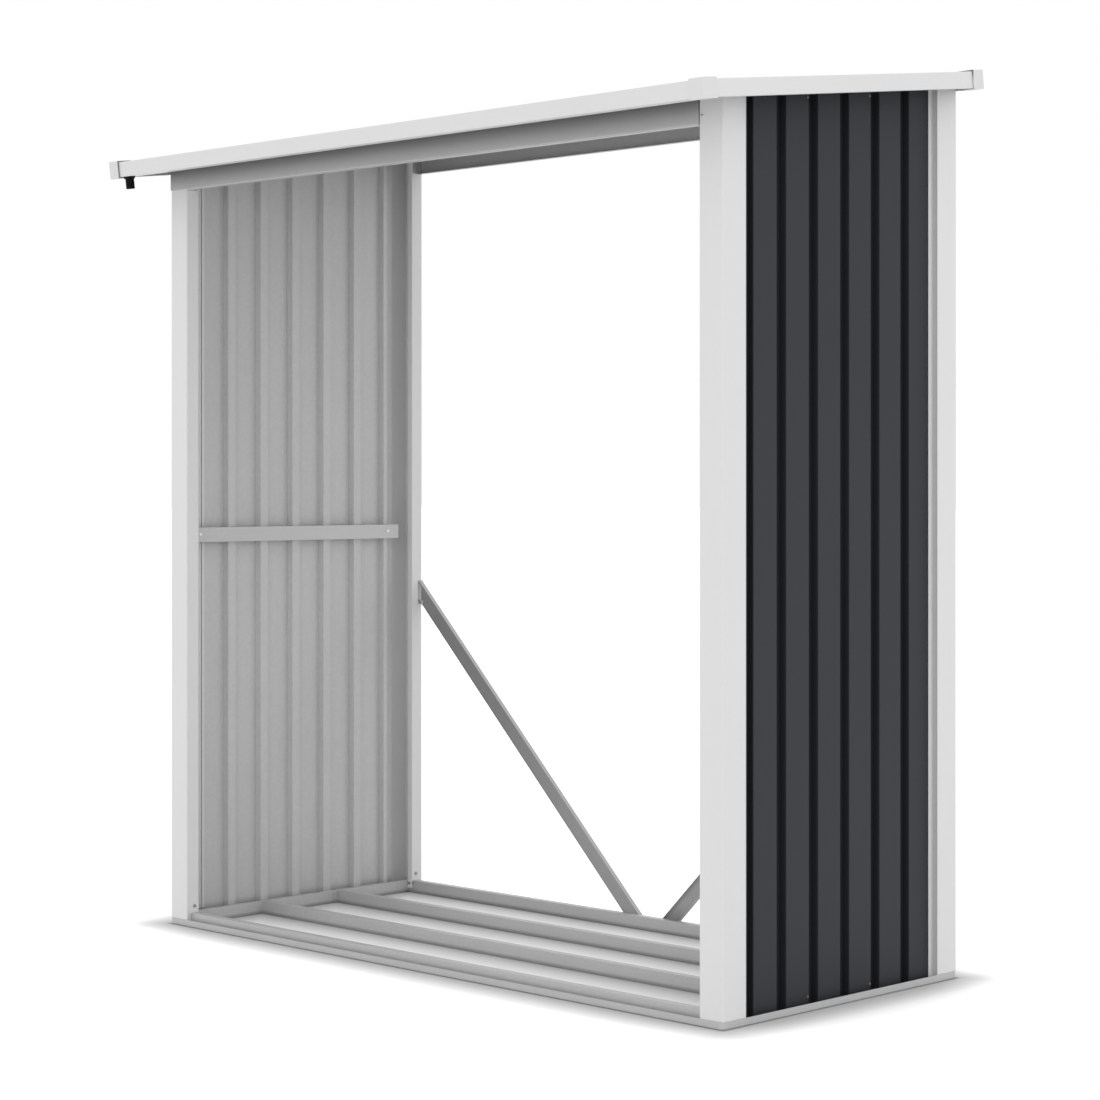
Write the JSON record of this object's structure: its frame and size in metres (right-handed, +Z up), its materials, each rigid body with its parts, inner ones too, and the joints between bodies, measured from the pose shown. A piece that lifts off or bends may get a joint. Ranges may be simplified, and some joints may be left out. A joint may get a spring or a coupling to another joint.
{
  "type": "log store",
  "caption": "Sheet-steel firewood store, open front and back, with corrugated side walls, a base frame, two rear braces and a sloping roof with a front gutter.",
  "frame": {"origin": "on the ground under the middle of the whole outline, which is the roof's outline in plan", "axes": "+X along the store to the right seen from the front, +Y from the front to the back, +Z up"},
  "size_m": [1.505, 0.7199, 1.5428],
  "materials": {
    "silver_paint": "satin light silver-grey paint on folded steel",
    "wall_sheet": "satin anthracite paint outside, bare zinc inside",
    "roof_sheet": "satin anthracite paint above, bare zinc below",
    "rails": "plain galvanised steel",
    "cap_plastic": "light silver-grey moulded plastic",
    "black_plastic": "black moulded plastic"
  },
  "bodies": {
    "root": {"base_rail_front": "rails", "base_rail_rear": "rails", "base_rail_left": "rails", "base_rail_right": "rails", "floor_joist_front": "rails", "floor_joist_rear": "rails", "post_front_left": "silver_paint", "post_front_right": "silver_paint", "post_rear_left": "silver_paint", "post_rear_right": "silver_paint", "wall_panel_left": "wall_sheet", "wall_panel_right": "wall_sheet", "wall_rail_left": "rails", "wall_rail_right": "rails", "wall_top_rail_left": "rails", "wall_top_rail_right": "rails", "header_front": "rails", "header_rear": "rails", "brace_left": "rails", "brace_right": "rails", "roof_sheet_left": "roof_sheet", "roof_sheet_middle": "roof_sheet", "roof_sheet_right": "roof_sheet", "roof_gutter": "silver_paint", "roof_trim_rear": "silver_paint", "roof_trim_left": "silver_paint", "roof_trim_right": "silver_paint", "roof_cap_front_left": "cap_plastic", "roof_cap_front_right": "cap_plastic", "roof_cap_rear_left": "cap_plastic", "roof_cap_rear_right": "cap_plastic", "gutter_spout": "black_plastic"}
  },
  "joints": []
}
